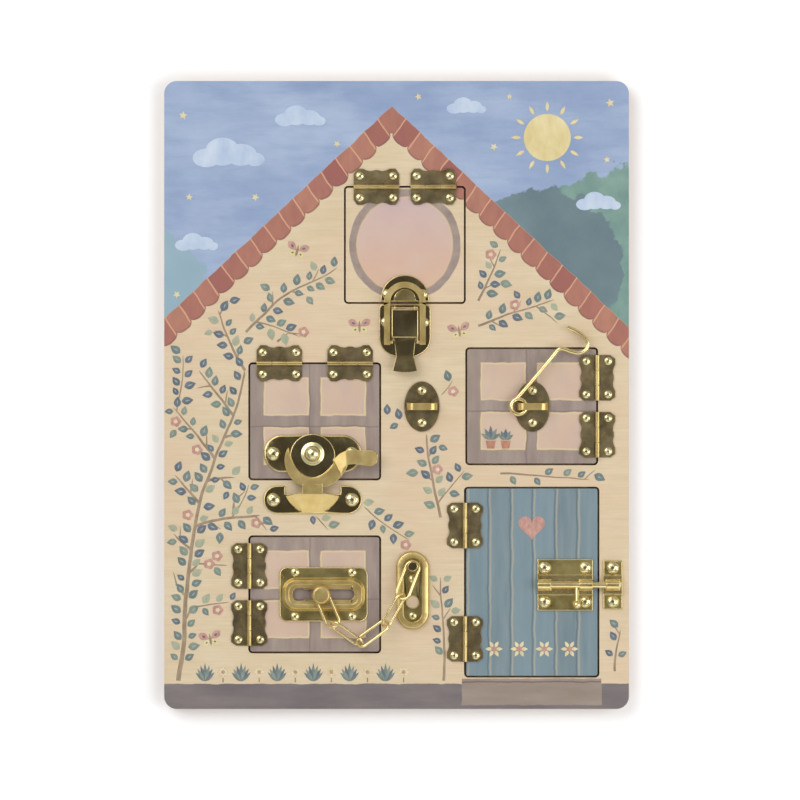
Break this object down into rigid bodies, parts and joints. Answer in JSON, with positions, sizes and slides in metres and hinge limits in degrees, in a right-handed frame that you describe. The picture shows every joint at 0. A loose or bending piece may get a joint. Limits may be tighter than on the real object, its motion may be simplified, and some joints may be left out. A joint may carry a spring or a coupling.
{
  "type": "wooden lock board",
  "caption": "Flat wooden board with hinged doors and windows, each held shut by a different working lock: draw latch, sash lock, hook, door chain and barrel bolt.",
  "frame": {"origin": "middle of the back face, which the board lies on", "axes": "+X to the right of the picture, +Y to the top of the picture, +Z out of the front face"},
  "size_m": [0.296, 0.4, 0.0242],
  "materials": {
    "painted_wall": "printed and lacquered front face, bare sawn edges",
    "painted_window": "printed and lacquered front face, bare sawn edges",
    "painted_door": "printed and lacquered front face, bare sawn edges",
    "plain_plywood": "plain sanded plywood",
    "antique_brass": "dark antique brass plating",
    "polished_brass": "polished brass plating",
    "screw_brass": "polished brass plating"
  },
  "bodies": {
    "board": {"front_board": "painted_wall", "back_panel": "plain_plywood", "gable_window_hinge_frame_leaves": "antique_brass", "left_window_hinge_frame_leaves": "antique_brass", "right_window_hinge_frame_leaves": "antique_brass", "lower_window_hinge_frame_leaves": "antique_brass", "front_door_hinge_frame_leaves": "antique_brass", "gable_window_hinge_pins": "antique_brass", "left_window_hinge_pins": "antique_brass", "right_window_hinge_pins": "antique_brass", "lower_window_hinge_pins": "antique_brass", "front_door_hinge_pins": "antique_brass", "board_screws": "screw_brass", "latch_base": "polished_brass", "latch_pivot_pin": "polished_brass", "sash_lock_keeper": "polished_brass", "chain_anchor_plate": "polished_brass", "chain_anchor_post": "polished_brass", "hook_catch_plate": "polished_brass", "bolt_keeper": "polished_brass"},
    "gable_window": {"gable_window": "painted_window", "gable_window_hinge_flap_leaves": "antique_brass", "gable_window_screws": "screw_brass", "latch_catch": "polished_brass"},
    "left_window": {"left_window": "painted_window", "left_window_hinge_flap_leaves": "antique_brass", "left_window_screws": "screw_brass", "sash_lock_base": "polished_brass", "sash_lock_rivet": "polished_brass"},
    "right_window": {"right_window": "painted_window", "right_window_hinge_flap_leaves": "antique_brass", "right_window_screws": "screw_brass", "hook_eye_plate": "polished_brass"},
    "lower_window": {"lower_window": "painted_window", "lower_window_hinge_flap_leaves": "antique_brass", "lower_window_screws": "screw_brass", "chain_slide_plate": "polished_brass"},
    "front_door": {"front_door": "painted_door", "front_door_hinge_flap_leaves": "antique_brass", "front_door_screws": "screw_brass", "bolt_plate": "polished_brass"},
    "latch_lever": {"latch_lever": "polished_brass"},
    "latch_bail": {"latch_bail": "polished_brass"},
    "hook": {"hook": "polished_brass"},
    "chain_knob": {"chain_knob": "polished_brass"},
    "bolt_rod": {"bolt_rod": "polished_brass"},
    "bolt_knob": {"bolt_knob": "polished_brass"},
    "sash_cam": {"sash_lock_cam": "polished_brass"},
    "chain_link_knob": {"chain_link_knob": "polished_brass"},
    "chain_link_second": {"chain_link_second": "polished_brass"},
    "chain_link_middle": {"chain_link_middle": "polished_brass"},
    "chain_link_fourth": {"chain_link_fourth": "polished_brass"},
    "chain_link_anchor": {"chain_link_anchor": "polished_brass"}
  },
  "joints": [
    {"name": "gable_window_hinge", "type": "hinge", "parent": "board", "child": "gable_window", "pos_m": [0.0053, 0.1326, 0.01265], "axis": [-1, 0, 0], "range_deg": [0, 150]},
    {"name": "left_window_hinge", "type": "hinge", "parent": "board", "child": "left_window", "pos_m": [-0.0521, 0.0202, 0.01265], "axis": [-1, 0, 0], "range_deg": [0, 150]},
    {"name": "right_window_hinge", "type": "hinge", "parent": "board", "child": "right_window", "pos_m": [0.1278, -0.0072, 0.01265], "axis": [0, 1, 0], "range_deg": [0, 150]},
    {"name": "lower_window_hinge", "type": "hinge", "parent": "board", "child": "lower_window", "pos_m": [-0.0938, -0.127, 0.01265], "axis": [0, -1, 0], "range_deg": [0, 150]},
    {"name": "front_door_hinge", "type": "hinge", "parent": "board", "child": "front_door", "pos_m": [0.0436, -0.1192, 0.01265], "axis": [0, -1, 0], "range_deg": [0, 150]},
    {"name": "latch_lever_pivot", "type": "hinge", "parent": "board", "child": "latch_lever", "pos_m": [0.0053, 0.055, 0.015], "axis": [-1, 0, 0], "range_deg": [0, 120]},
    {"name": "latch_bail_pivot", "type": "hinge", "parent": "latch_lever", "child": "latch_bail", "pos_m": [0.0053, 0.0336, 0.0152], "axis": [-1, 0, 0], "range_deg": [-157, 0]},
    {"name": "sash_cam_turn", "type": "hinge", "parent": "left_window", "child": "sash_cam", "pos_m": [-0.0534, -0.0374, 0.015], "axis": [0, 0, 1], "range_deg": [0, 170]},
    {"name": "hook_swing", "type": "hinge", "parent": "right_window", "child": "hook", "pos_m": [0.0776, -0.0074, 0.01595], "axis": [0, 0, 1], "range_deg": [-42, 132]},
    {"name": "chain_knob_slide", "type": "slide", "parent": "lower_window", "child": "chain_knob", "axis": [1, 0, 0], "range_m": [-0.014, 0.013]},
    {"name": "chain_knob_pivot", "type": "hinge", "parent": "chain_knob", "child": "chain_link_knob", "pos_m": [-0.0478, -0.127, 0.019], "axis": [0, 0, 1], "range_deg": [-16, 16]},
    {"name": "chain_second_pivot", "type": "hinge", "parent": "chain_link_knob", "child": "chain_link_second", "pos_m": [-0.03983, -0.14578, 0.019], "axis": [0, 0, 1], "range_deg": [-10, 10]},
    {"name": "chain_middle_pivot", "type": "hinge", "parent": "chain_link_second", "child": "chain_link_middle", "pos_m": [-0.02326, -0.15768, 0.019], "axis": [0, 0, 1], "range_deg": [-10, 10]},
    {"name": "chain_fourth_pivot", "type": "hinge", "parent": "chain_link_middle", "child": "chain_link_fourth", "pos_m": [-0.00682, -0.14561, 0.019], "axis": [0, 0, 1], "range_deg": [-7, 7]},
    {"name": "chain_anchor_pivot", "type": "hinge", "parent": "chain_link_fourth", "child": "chain_link_anchor", "pos_m": [0.00326, -0.12787, 0.019], "axis": [0, 0, 1], "range_deg": [-6, 6]},
    {"name": "bolt_slide", "type": "slide", "parent": "front_door", "child": "bolt_rod", "axis": [-1, 0, 0], "range_m": [0, 0.014]},
    {"name": "bolt_knob_turn", "type": "hinge", "parent": "bolt_rod", "child": "bolt_knob", "pos_m": [0.1147, -0.1209, 0.0147], "axis": [-1, 0, 0], "range_deg": [0, 140]}
  ],
  "couplings": [
    {"joint": "chain_knob_pivot", "follows": "chain_knob_slide", "rad_per_m": -19.241},
    {"joint": "chain_second_pivot", "follows": "chain_knob_slide", "rad_per_m": 11.361},
    {"joint": "chain_middle_pivot", "follows": "chain_knob_slide", "rad_per_m": 11.04},
    {"joint": "chain_fourth_pivot", "follows": "chain_knob_slide", "rad_per_m": 7.71},
    {"joint": "chain_anchor_pivot", "follows": "chain_knob_slide", "rad_per_m": 5.9945},
    {"joint": "latch_bail_pivot", "follows": "latch_lever_pivot", "ratio": -1.3}
  ]
}
